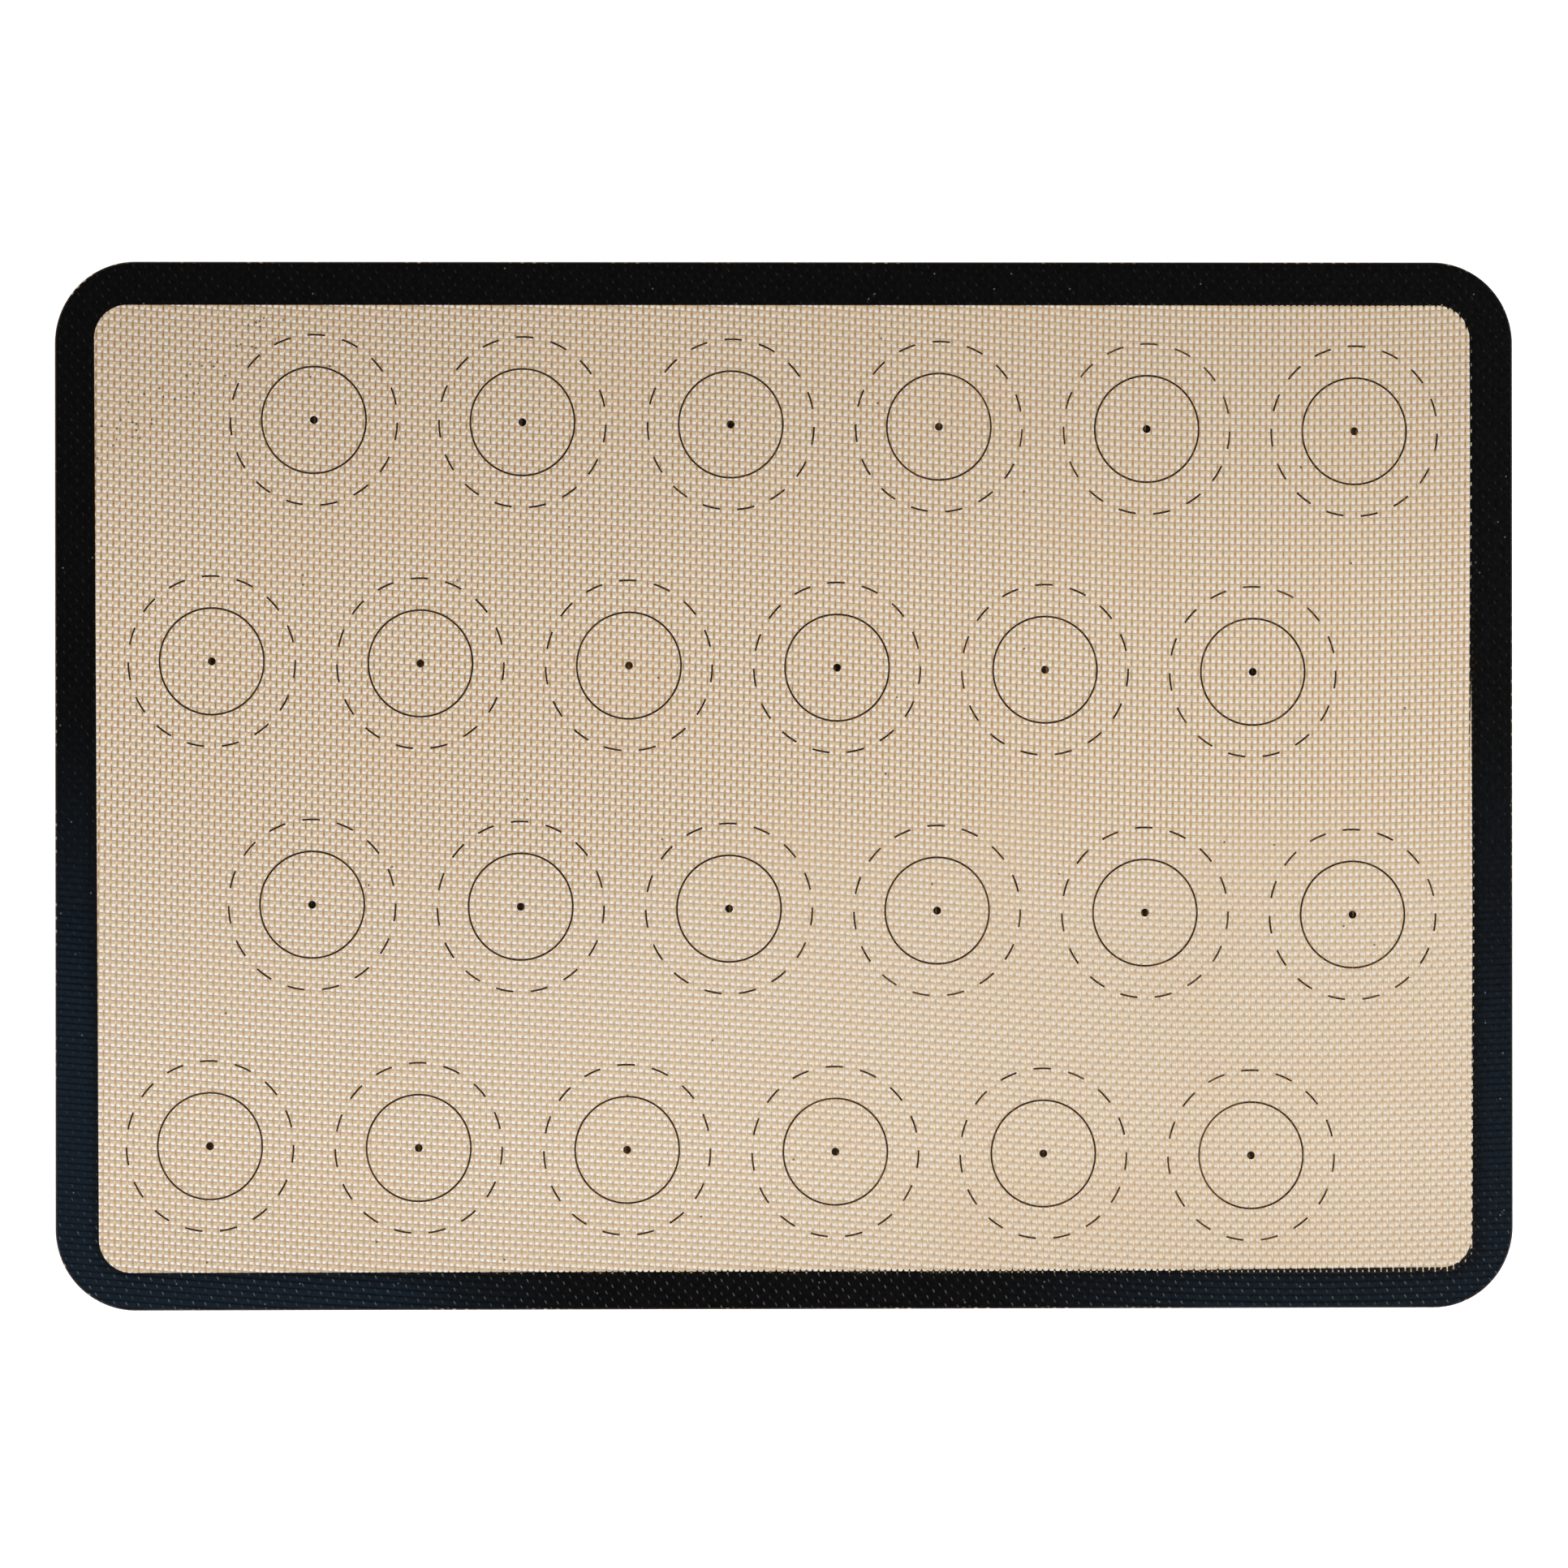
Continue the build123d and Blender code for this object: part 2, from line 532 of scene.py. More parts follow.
def lineLayers(graph, at, colour):
    # the column line, brown between two pads and greyer beside them, broken by a pale hook
    near = at.near
    at.lineShare = graph.band(near.line, *lines["line"])
    deepHalf = lines["deepHalf"] - at.glints * lines["glintDeepShorter"]
    deep = graph.band(near.deep, deepHalf, lines["deepSoft"])
    fade = (1.0 - at.glints * lines["glintFade"]) * (1.0 - at.calm * lines["calmFade"])
    fade = fade * (1.0 - at.late * lines["lateFade"])
    colour = graph.blend(at.lineShare * fade, colour, graph.blend(deep, coatLook["grey"], coatLook["brown"]))
    lateLine = graph.band(near.line - lines["lateLineRight"], *lines["lateLine"])
    lateLine = lateLine * graph.band(near.deep + lines["lateLineUp"], *lines["lateLineLength"])
    lateSpot = graph.band(near.line + lines["lateSpotLeft"], *lines["lateSpot"])
    lateSpot = lateSpot * graph.band(near.hook + lines["lateSpotUp"], *lines["lateSpotLength"])
    lateShare = (lateLine + lateSpot * lines["lateSpotShare"]).math("MINIMUM", 1.0) * at.late
    colour = graph.blend(lateShare, colour, coatLook["lateBrown"])
    bend = (near.hook + lines["hookBendStart"]).math("MAXIMUM", 0.0)
    bend = bend.math("MINIMUM", lines["hookBendEnd"]) * lines["hookBend"]
    at.hookShare = hookMark(graph, near, bend)
    fade = 1.0 - at.calm * lines["hookCalmFade"]
    fade = fade - at.glints * (1.0 - at.calm) * lines["hookGlintFade"] + at.late * lines["hookLateGain"]
    hook = graph.blend(at.late, coatLook["hook"], coatLook["peach"])
    colour = graph.blend(at.hookShare * fade, colour, hook)
    at.glintShare = glintMark(graph, near) * at.glints
    glint = graph.blend(graph.ramp(near.deep, *lines["glintPaler"]), coatLook["peach"], coatLook["glint"])
    return graph.blend(at.glintShare * lines["glintShare"], colour, glint)


def toneLayers(graph, at, colour):
    # grain, warmer clouds, and painted shade towards the upper and lower edges and in the upper corners, most at the
    # left
    colour = graph.blend(graph.ramp(at.speckle, *coatTone["grain"]), colour, coatLook["grey"])
    colour = graph.blend(graph.ramp(at.cloudy, *coatTone["clouds"]), colour, coatLook["stain"])
    corner = graph.ramp(abs(at.x) * coatTone["cornerShadeLean"] + at.y, *coatZones["corner"])
    corner = corner * graph.ramp(at.x, *coatZones["cornerShadeRight"])
    paintedShade = graph.ramp(at.y, *coatZones["shadeUp"]) + graph.ramp(-at.y, *coatZones["shadeDown"])
    colour = graph.tint(paintedShade + corner * coatTone["cornerShadeShare"], colour, coatLook["paintedShade"])
    # a trail of fine dark specks near the upper left corner
    offTrail = at.y - coatTone["trailY"] - (at.x - coatTone["trailX"]) * coatTone["trailSlope"]
    trail = graph.band(offTrail, *coatTone["trail"]) * graph.ramp(at.x, *coatZones["trailEnd"])
    speck, pick = specks(graph, at.spot, coatLook["speckScale"], 0, coatLook["speckRadii"])
    pick = pick + trail * coatLook["trailShare"]
    speck = speck * pick.math("GREATER_THAN", 1 - coatLook["speckShare"])
    return graph.blend(speck * coatTone["speckShare"], colour, coatLook["speck"])


def rimLayer(graph, at, colour):
    # black silicone that has run into the grooves along the border's inner edge
    past = pastWindow(graph, at.x, at.y) / millimetre
    groove = at.lineShare * (1.0 - at.hookShare * blackRun["hookShield"])
    cut = graph.ramp(at.x - at.y, *coatZones["cut"])     # pale slivers stand out at the lower right
    sliver = at.glintShare.math("MAXIMUM", at.hookShare)
    reach = at.padShare * blackRun["padHold"] - groove * blackRun["grooveRun"]
    reach = raggedness(graph, at.x, at.y) * (1.0 - cut) * reach
    reach = reach + cut * (sliver * blackRun["sliverHold"] - blackRun["cutRun"])
    reach = reach + (at.speckle - 0.5) * blackRun["grainRun"] - blackRun["start"]
    share = graph.ramp(past, reach - blackRun["soft"], reach + blackRun["soft"])
    return graph.blend(share, colour, coatLook["ink"])


def clearSilicone():
    made, graph = newMaterial("clearSilicone")
    at = CoatSpot(graph)
    colour = padLayers(graph, at)
    colour = lineLayers(graph, at, colour)
    colour = toneLayers(graph, at, colour)
    colour = rimLayer(graph, at, colour)
    height = at.creamShare * coatRelief["cream"] - at.lineShare * coatRelief["line"]
    height = height + at.hookShare * coatRelief["hook"] + at.glintShare * coatRelief["glint"]
    finishMaterial(graph, {
        "Base Color": colour,
        "Roughness": coatLook["roughness"],
        "Normal": bumped(graph, height, coatLook["bumpDepth"]),
    })
    return made


# Black silicone of the border, with a painted bluish sheen towards the lower corners and the cloth's ribs just
# showing
borderLook = {
    "black": seen(3, 3, 3),
    # painted bluish sheen towards the lower corners
    "navySheen": seen(18, 29, 39),
    "fleck": seen(120, 120, 122),
    # painted highlights on the weave's crossings
    "latticeHighlight": seen(112, 108, 108),
    "worn": seen(96, 76, 54),
    "rim": seen(84, 62, 44),
    "tick": seen(190, 165, 130),
    "tooth": seen(214, 196, 162),
    "specular": 0.22,
    "bumpDepth": 0.02 * millimetre,
    "cloudScale": 60.0,
    "speckleScale": 900.0,
    "dustScale": 700.0,
    "dustRadii": (0.08, 0.22),
    "dustShare": 0.008,
}
# Where the border changes, in metres, and in millimetres past the window or the mat's edge
borderZones = {
    # where the painted sheen shows
    "sheenUp": (-0.1, 0.03, 1.0, 0.0),
    "sheenSides": (0.05, 0.14),
    "sheenRight": (-0.2, 0.0, 1.35, 0.8),
    "ribsDown": (-0.02, 0.05),
    "sliversDown": (0.12, 0.13),
    "sliversRight": (0.0, 0.1),
    # painted highlights on the crossings grow towards the lower edge
    "latticeHighlightDown": (0.1, 0.14, 0.15, 0.8),
    "thinPast": (0.3, 1.3, 1.0, 0.0),
    # less painted sheen near the window
    "sheenPast": (0.0, 5.0, 0.45, 1.0),
    "teethPast": (0.3, 0.65, 1.0, 0.0),
    "rimPast": (-0.5, -0.1),
}
# Marks on the border. Places and sizes are in cells, and a pair is a half width and its softness.
borderMarks = {
    # dark ribs that break the painted sheen
    "rib": (0.16, 0.12),
    "ribShare": 0.75,
    "sheenGrain": 0.5,
    "thin": (0.22, 0.15),
    "thinLength": (0.2, 0.15),
    "thinShare": 0.3,
    "toothLeft": 0.03,
    # shape of the painted highlights on the weave's crossings
    "crossing": (0.08, 0.07),
    "crossingLean": 0.5,
    "crossingLength": (0.2, 0.12),
    "crossingChance": (0.2, 1.0, 0.3, 1.0),
    "fleckShare": 0.7,
    "rimShare": 0.45,
    "tick": (0.25, 0.1),
    "tickLength": (0.2, 0.1),
    "tickClouds": (0.4, 0.6),
    "gloss": (0.2, 0.8, 0.25, 0.36),
    "grainHeight": 0.3,
    "ribHeight": 0.4,
    "ribHollow": (0.2, 0.2),
}


def navySheenLayer(graph, x, y, near, speckle, past):
    # painted bluish sheen towards the lower corners, broken by dark ribs
    navySheen = graph.ramp(y, *borderZones["sheenUp"]) * graph.ramp(abs(x), *borderZones["sheenSides"])
    navySheen = navySheen * graph.ramp(x, *borderZones["sheenRight"])
    ribs = graph.band(near.step, *borderMarks["rib"]) * graph.ramp(-y, *borderZones["ribsDown"])
    grain = 1 - borderMarks["sheenGrain"] / 2 + speckle * borderMarks["sheenGrain"]
    navySheen = navySheen * (1.0 - ribs * borderMarks["ribShare"]) * grain
    navySheen = navySheen * graph.ramp(past, *borderZones["sheenPast"])
    return graph.blend(navySheen, borderLook["black"], borderLook["navySheen"])


def innerEdgeLayers(graph, x, y, near, chance, past, colour):
    # thin spots over the pads next to the window
    ragged = raggedness(graph, x, y)
    thin = graph.band(0.5 - abs(near.line), *borderMarks["thin"])
    thin = thin * graph.band(near.pad, *borderMarks["thinLength"])
    thin = thin * graph.ramp(past, *borderZones["thinPast"]) * ragged * chance
    colour = graph.blend(thin * borderMarks["thinShare"], colour, borderLook["worn"])
    # hooks of yarn on the right and pale slivers below stand out over the inner edge
    hook = hookMark(graph, near, borderMarks["toothLeft"])
    sliver = glintMark(graph, near) * graph.ramp(-y, *borderZones["sliversDown"])
    sliver = sliver * graph.ramp(x, *borderZones["sliversRight"])
    teeth = hook.math("MAXIMUM", sliver) * ragged * graph.ramp(past, *borderZones["teethPast"])
    return graph.blend(teeth, colour, borderLook["tooth"])


def blackSilicone():
    made, graph = newMaterial("blackSilicone")
    spot, x, y = objectPlace(graph)
    column, row = toWeave(x, y)
    near = Near(column, row)
    chance = cellChance(graph, column + 0.5, row)
    cloudy = graph.noise(spot, borderLook["cloudScale"])
    speckle = graph.noise(spot, borderLook["speckleScale"])
    past = pastWindow(graph, x, y) / millimetre
    colour = navySheenLayer(graph, x, y, near, speckle, past)
    colour = innerEdgeLayers(graph, x, y, near, chance, past, colour)
    # painted highlights on the weave's crossings, clearest along the lower edge
    crossing = graph.band(near.line - near.hook * borderMarks["crossingLean"], *borderMarks["crossing"])
    crossing = crossing * graph.band(near.hook, *borderMarks["crossingLength"])
    clear = graph.ramp(-y, *borderZones["latticeHighlightDown"])
    clear = clear * graph.ramp(chance, *borderMarks["crossingChance"])
    colour = graph.blend(crossing * clear, colour, borderLook["latticeHighlight"])
    # a few pale flecks of dust
    fleck, pick = specks(graph, spot, borderLook["dustScale"], 1, borderLook["dustRadii"])
    fleck = fleck * pick.math("GREATER_THAN", 1 - borderLook["dustShare"])
    colour = graph.blend(fleck * borderMarks["fleckShare"], colour, borderLook["fleck"])
    # the cut edge, where the cloth's ends show through
    edge = graph.ramp(pastMat(graph, x, y) / millimetre, *borderZones["rimPast"])
    colour = graph.blend(edge * borderMarks["rimShare"], colour, borderLook["rim"])
    ends = graph.band(near.deep, *borderMarks["tickLength"]) * graph.band(near.line, *borderMarks["tick"])
    ends = edge * ends * graph.ramp(cloudy, *borderMarks["tickClouds"])
    colour = graph.blend(ends, colour, borderLook["tick"])
    height = speckle * borderMarks["grainHeight"]
    height = height - graph.band(near.step, *borderMarks["ribHollow"]) * borderMarks["ribHeight"]
    finishMaterial(graph, {
        "Base Color": colour,
        "Roughness": graph.ramp(speckle, *borderMarks["gloss"]),
        "Specular IOR Level": borderLook["specular"],
        "Normal": bumped(graph, height, borderLook["bumpDepth"]),
    })
    return made


# Printed guide ink, browner where it spans a groove
inkLook = {
    "dark": seen(44, 26, 6),
    "thin": seen(108, 76, 44),
    "dot": seen(8, 6, 3),
    "specular": 0.12,
    "roughness": 0.4,
    "patchScale": 350.0,
    "patchShare": 0.8,
    "patchWorn": (0.55, 1.0),
    "fadeScale": 45.0,
    "faded": (0.52, 0.66, 0.0, 0.7),     # paler marks
    "wearRight": (-0.12, 0.16, 0.3, 0.85),
    "wearDown": (0.0, 0.1, 0.0, 0.1),
}


def guideInk(name, solid):
    made, graph = newMaterial(name)
    spot, x, y = objectPlace(graph)
    groove = hollow(graph, *toWeave(x, y))
    patchy = graph.noise(spot, inkLook["patchScale"])
    faded = graph.ramp(graph.noise(spot, inkLook["fadeScale"]), *inkLook["faded"])
    worn = graph.ramp(groove + (patchy - 0.5) * inkLook["patchShare"], *inkLook["patchWorn"]) + faded
    worn = worn * graph.ramp(x, *inkLook["wearRight"])
    worn = (worn + graph.ramp(-y, *inkLook["wearDown"])).math("MINIMUM", 1.0)
    finishMaterial(graph, {
        "Base Color": graph.blend(worn, solid, inkLook["thin"]),
        "Roughness": inkLook["roughness"],
        "Specular IOR Level": inkLook["specular"],
    })
    return made


# Woven glass cloth inside the mat
clothLook = {
    "yarn": seen(236, 230, 220),
    "gap": seen(198, 182, 158),
    "roughness": 0.6,
    "fibreScale": 2500.0,
    "fibreStretch": 9.0,
    "yarnWidth": (0.36, 0.12),
    "fibreShare": 0.3,
}


def glassYarn():
    made, graph = newMaterial("glassYarn")
    spot, x, y = objectPlace(graph)
    near = Near(*toWeave(x, y))
    yarn = graph.band(0.5 - abs(near.line), *clothLook["yarnWidth"])
    yarn = yarn * graph.band(0.5 - abs(near.step), *clothLook["yarnWidth"])
    along = graph.join(x * clothLook["fibreStretch"], y, graph.split(spot)[2])
    fibres = graph.noise(along, clothLook["fibreScale"])
    yarn = yarn * varied(fibres, clothLook["fibreShare"])
    colour = graph.blend(yarn, clothLook["gap"], clothLook["yarn"])
    finishMaterial(graph, {"Base Color": colour, "Roughness": clothLook["roughness"]})
    return made


coatMaterial = clearSilicone()
borderMaterial = blackSilicone()
inkMaterial = guideInk("guideInk", inkLook["dark"])
dotMaterial = guideInk("dotInk", inkLook["dot"])
clothMaterial = glassYarn()
print("materials made")


def newTree(name, inputs):
    # a Geometry Nodes tree with named inputs, and the node that gives them
    tree = bpy.data.node_groups.new(name, "GeometryNodeTree")
    sockets = {}
    for label, kind in inputs.items():
        sockets[label] = tree.interface.new_socket(name=label, in_out="INPUT", socket_type=kind)
    tree.interface.new_socket(name="Mesh", in_out="OUTPUT", socket_type="NodeSocketGeometry")
    graph = Graph(tree)
    given = graph.add("NodeGroupInput")
    wires = {label: Wire(graph, given.outputs[label]) for label in inputs}
    return tree, graph, wires, {label: socket.identifier for label, socket in sockets.items()}


def endTree(graph, geometry, material):
    # every tree ends in real geometry with its material set
    geometry = graph.wire("GeometryNodeRealizeInstances", 0, None, {0: geometry})
    geometry = graph.wire("GeometryNodeSetMaterial", 0, None, {"Geometry": geometry, "Material": material})
    graph.add("NodeGroupOutput", None, {0: geometry})


def grow(name, tree, identifiers, values, startMesh=None):
    # runs a tree once and keeps the result as a plain mesh
    seed = bpy.data.objects.new(name + "_seed", startMesh or bpy.data.meshes.new(name + "_seed"))
    bpy.context.scene.collection.objects.link(seed)
    modifier = seed.modifiers.new("grow", "NODES")
    modifier.node_group = tree
    for label, value in values.items():
        modifier[identifiers[label]] = value
    state = bpy.context.evaluated_depsgraph_get()
    mesh = bpy.data.meshes.new_from_object(seed.evaluated_get(state), depsgraph=state)
    bpy.data.objects.remove(seed)
    mesh.name = name
    return mesh


def putInScene(name, mesh, material):
    made = bpy.data.objects.new(name, mesh)
    if not mesh.materials:
        mesh.materials.append(material)
    bpy.context.scene.collection.objects.link(made)
    return made


def dress(piece, slot, *nodes):
    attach(piece, "root")
    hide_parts(*nodes)


# Sheet of woven relief: a block of cells, cut to the mat's outline a little inside its edge
def sheetTree():
    inputs = {
        "First Column": "NodeSocketFloat",
        "First Row": "NodeSocketFloat",
        "Columns": "NodeSocketInt",
        "Rows": "NodeSocketInt",
        "Samples": "NodeSocketInt",
        "Level": "NodeSocketFloat",
        "Depth": "NodeSocketFloat",
        "Inset": "NodeSocketFloat",
        "Material": "NodeSocketMaterial",
    }
    tree, graph, given, identifiers = newTree("woven sheet", inputs)
    grid = graph.wire("GeometryNodeMeshGrid", 0, None, {
        "Size X": 1.0,
        "Size Y": 1.0,
        "Vertices X": given["Columns"] * given["Samples"] + 1,
        "Vertices Y": given["Rows"] * given["Samples"] + 1,
    })
    shareX, shareY = graph.split(graph.wire("GeometryNodeInputPosition"))[:2]
    column = given["First Column"] + (shareX + 0.5) * given["Columns"]
    row = given["First Row"] + (0.5 - shareY) * given["Rows"]
    x, y = fromWeave(column, row)
    z = given["Level"] - hollow(graph, column, row) * given["Depth"]
    moved = graph.wire("GeometryNodeSetPosition", 0, None, {
        "Geometry": grid,
        "Position": graph.join(x, y, z),
    })
    middleX, middleY = graph.split(graph.wire("GeometryNodeInputPosition"))[:2]
    beyond = (pastMat(graph, middleX, middleY) + given["Inset"]).math("GREATER_THAN", 0)
    kept = graph.wire("GeometryNodeDeleteGeometry", 0, {"domain": "FACE"}, {
        "Geometry": moved,
        "Selection": beyond,
    })
    endTree(graph, kept, given["Material"])
    return tree, identifiers


sheet = sheetTree()


# Share of a slab's own map that its relief gets, and where its back and walls start and how far they go
slabMap = {"relief": 0.98, "backStart": 0.4, "back": 0.5}
sameLevel = 1e-7         # metres


def closeSlab(mesh, level):
    # walls down from the relief's rim to a flat back
    work = bmesh.new()
    work.from_mesh(mesh)
    rim = [edge for edge in work.edges if edge.is_boundary]
    walls = bmesh.ops.extrude_edge_only(work, edges=rim)["geom"]
    feet = [part for part in walls if isinstance(part, bmesh.types.BMVert)]
    footEdges = [part for part in walls if isinstance(part, bmesh.types.BMEdge) and part.is_boundary]
    for foot in feet:
        foot.co.z = level
    bmesh.ops.holes_fill(work, edges=footEdges, sides=0)
    bmesh.ops.recalc_face_normals(work, faces=work.faces)
    lowX = min(vertex.co.x for vertex in work.verts)
    highX = max(vertex.co.x for vertex in work.verts)
    lowY = min(vertex.co.y for vertex in work.verts)
    highY = max(vertex.co.y for vertex in work.verts)
    layer = work.loops.layers.uv.new("OFBake")
    spare = 1 - slabMap["relief"]
    for face in work.faces:
        behind = any(abs(vertex.co.z - level) < sameLevel for vertex in face.verts)
        face.smooth = not behind
        for loop in face.loops:
            shareX = (loop.vert.co.x - lowX) / (highX - lowX)
            shareY = (loop.vert.co.y - lowY) / (highY - lowY)
            if behind:
                shareY = slabMap["backStart"] + slabMap["back"] * shareY
                loop[layer].uv = (shareX, slabMap["relief"] + spare * shareY)
            else:
                loop[layer].uv = (shareX, shareY * slabMap["relief"])
    for edge in work.edges:
        edge.smooth = len({face.smooth for face in edge.link_faces}) < 2
    work.to_mesh(mesh)
    work.free()


# Coats of clear silicone, made in panels that meet on a column or row line
coats = {
    "topPanels": (3, 2),
    "topSamples": 3,
    "trayPanels": (2, 1),
    "traySamples": 2,
    "depth": 0.1 * millimetre,
    "trayDepth": 0.06 * millimetre,
    "inset": 1.2 * millimetre,
    "spareCells": 2,
}
columnsAcross = math.ceil(matLength / weave["columnPitch"] / 2) + coats["spareCells"]
rowsAcross = math.ceil((matWidth / 2 + weave["rowSlope"] * matLength / 2) / weave["rowPitch"])
rowsAcross = rowsAcross + coats["spareCells"]


def coatPanels(label, panels, samples, node, crest, back, depth):
    columnCuts = [round(-columnsAcross + 2 * columnsAcross * n / panels[0]) for n in range(panels[0] + 1)]
    rowCuts = [round(-rowsAcross + 2 * rowsAcross * n / panels[1]) for n in range(panels[1] + 1)]
    for across in range(panels[0]):
        for down in range(panels[1]):
            name = f"{label}_{down + 1}_{across + 1}"
            mesh = grow(name, *sheet, {
                "First Column": float(columnCuts[across]),
                "First Row": float(rowCuts[down]),
                "Columns": columnCuts[across + 1] - columnCuts[across],
                "Rows": rowCuts[down + 1] - rowCuts[down],
                "Samples": samples,
                "Level": crest,
                "Depth": depth,
                "Inset": coats["inset"],
                "Material": coatMaterial,
            })
            closeSlab(mesh, back)
            dress(putInScene(name, mesh, coatMaterial), "clear_silicone", node)


topLow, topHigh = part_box("top_coat")
trayLow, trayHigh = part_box("bottom_coat")
coatPanels("top_coat", coats["topPanels"], coats["topSamples"], "top_coat",
           topHigh.z, topLow.z, coats["depth"])
coatPanels("tray_coat", coats["trayPanels"], coats["traySamples"], "bottom_coat",
           trayLow.z, trayHigh.z, -coats["trayDepth"])
print("coats made")

# Border of black silicone, which wraps the cut edge
border = {
    "step": 0.6 * millimetre,
    "cornerSteps": 40,
    "upperSteps": 18,
    "lowerSteps": 9,
    "roundSteps": 4,
    "skin": matTop - topHigh.z,
    "lip": 0.85,              # how much of the skin is gone at the window
    "wrap": 0.6 * millimetre,
    "edgeRound": 0.287 * millimetre,
    "depth": 0.02 * millimetre,
    "feather": 1.0 * millimetre,
    "lowerFade": 4,
    "sharpAngle": math.radians(35),
}


def roundedRing(halfLength, halfWidth, radius, sideSteps, endSteps, shift=0.0, lean=0.0):
    # points round a rounded rectangle, anticlockwise from its lower right corner
    points = []
    corners = [(1, -1, -90), (1, 1, 0), (-1, 1, 90), (-1, -1, 180)]
    steps = [endSteps, sideSteps, endSteps, sideSteps]
    for turn, (signX, signY, start) in enumerate(corners):
        middleX = signX * (halfLength - radius)
        middleY = signY * (halfWidth - radius)
        for n in range(border["cornerSteps"]):
            angle = math.radians(start + 90 * n / border["cornerSteps"])
            points.append((middleX + radius * math.cos(angle), middleY + radius * math.sin(angle)))
        nextX, nextY = corners[(turn + 1) % 4][:2]
        angle = math.radians(start + 90)
        fromX = middleX + radius * math.cos(angle)
        fromY = middleY + radius * math.sin(angle)
        toX = nextX * (halfLength - radius) + radius * math.cos(angle)
        toY = nextY * (halfWidth - radius) + radius * math.sin(angle)
        for n in range(steps[turn]):
            share = n / steps[turn]
            points.append((fromX + (toX - fromX) * share, fromY + (toY - fromY) * share))
    return [(x - lean * y, y + shift) for x, y in points]


def borderProfile():
    # (share from the window to the wrap, share from the wrap to the outer edge, height, relief)
    rows = []
    for n in range(border["upperSteps"] + 1):
        share = n / border["upperSteps"]
        ease = min(1.0, share * outline["sideBorder"] / border["feather"])
        rows.append((share, 0.0, matTop - border["skin"] * border["lip"] * (1 - ease) ** 2, ease))
    turns = [90 * (n + 1) / border["roundSteps"] for n in range(border["roundSteps"])]
    radius = border["edgeRound"]
    reach = border["wrap"]
    for angle in turns:
        out = (reach - radius + radius * math.sin(math.radians(angle))) / reach
        rows.append((1.0, out, matTop - radius * (1 - math.cos(math.radians(angle))), 0.0))
    for angle in reversed([0] + turns[:-1]):
        out = (reach - radius + radius * math.sin(math.radians(angle))) / reach
        rows.append((1.0, out, radius * (1 - math.cos(math.radians(angle))), 0.0))
    for n in range(border["lowerSteps"] + 1):
        share = 1 - n / border["lowerSteps"]
        rows.append((share, 0.0, 0.0, -min(1.0, share * border["lowerFade"])))
    rows.append((0.0, 0.0, trayLow.z, 0.0))
    rows.append((1.0, 0.0, trayLow.z, 0.0))
    rows.append((1.0, 0.0, topHigh.z, 0.0))
    rows.append((0.0, 0.0, topHigh.z, 0.0))
    return rows


def borderMesh():
    sideSteps = round((matLength - 2 * outline["cornerRadius"]) / border["step"])
    endSteps = round((matWidth - 2 * outline["cornerRadius"]) / border["step"])
    inner = roundedRing(windowLength / 2, outline["windowWidth"] / 2, outline["windowRadius"],
                        sideSteps, endSteps, outline["windowRise"], windowSlope)
    wrap = border["wrap"]
    middle = roundedRing(matLength / 2 - wrap, matWidth / 2 - wrap, outline["cornerRadius"] - wrap,
                         sideSteps, endSteps)
    outer = roundedRing(matLength / 2, matWidth / 2, outline["cornerRadius"], sideSteps, endSteps)
    profile = borderProfile()
    vertices = []
    relief = []
    for (inX, inY), (midX, midY), (outX, outY) in zip(inner, middle, outer):
        for share, out, height, weight in profile:
            x = inX + (midX - inX) * share + (outX - midX) * out
            y = inY + (midY - inY) * share + (outY - midY) * out
            vertices.append((x, y, height))
            relief.append(weight)
    count = len(profile)
    total = len(inner)
    faces = []
    for n in range(total):
        here = n * count
        there = (n + 1) % total * count
        for k in range(count):
            after = (k + 1) % count
            faces.append((here + k, here + after, there + after, there + k))
    mesh = bpy.data.meshes.new("border_band")
    mesh.from_pydata(vertices, [], faces)
    layer = mesh.attributes.new("relief", "FLOAT", "POINT")
    layer.data.foreach_set("value", relief)
    work = bmesh.new()
    work.from_mesh(mesh)
    bmesh.ops.recalc_face_normals(work, faces=work.faces)
    work.to_mesh(mesh)
    work.free()
    return mesh


def borderTree():
    # presses the weave into the skins, as far as each point's relief attribute says
    inputs = {
        "Band": "NodeSocketGeometry",
        "Depth": "NodeSocketFloat",
        "Material": "NodeSocketMaterial",
    }
    tree, graph, given, identifiers = newTree("border relief", inputs)
    x, y = graph.split(graph.wire("GeometryNodeInputPosition"))[:2]
    relief = graph.wire("GeometryNodeInputNamedAttribute", 0, {"data_type": "FLOAT"}, {"Name": "relief"})
    fall = hollow(graph, *toWeave(x, y)) * given["Depth"] * relief
    pressed = graph.wire("GeometryNodeSetPosition", 0, None, {
        "Geometry": given["Band"],
        "Offset": graph.join(0.0, 0.0, -fall),
    })
    smooth = graph.wire("GeometryNodeSetShadeSmooth", 0, None, {"Geometry": pressed, "Shade Smooth": True})
    endTree(graph, smooth, given["Material"])
    return tree, identifiers


borderParts = borderTree()
bandValues = {"Depth": border["depth"], "Material": borderMaterial}
bandMesh = grow("border", *borderParts, bandValues, borderMesh())
bandMesh.set_sharp_from_angle(angle=border["sharpAngle"])
dress(putInScene("border", bandMesh, borderMaterial), "black_silicone", "border_band")
print("border made")

# Glass cloth, one bump for each crossing
cloth = {
    "inset": 1.2 * millimetre,
    "thickness": 0.18 * millimetre,
    "swing": 0.1 * millimetre,
    "flat": (0.2938, 0.4188),     # metres
    "area": 0.1224,               # square metres
}
clothLow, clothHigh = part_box("glass_cloth")


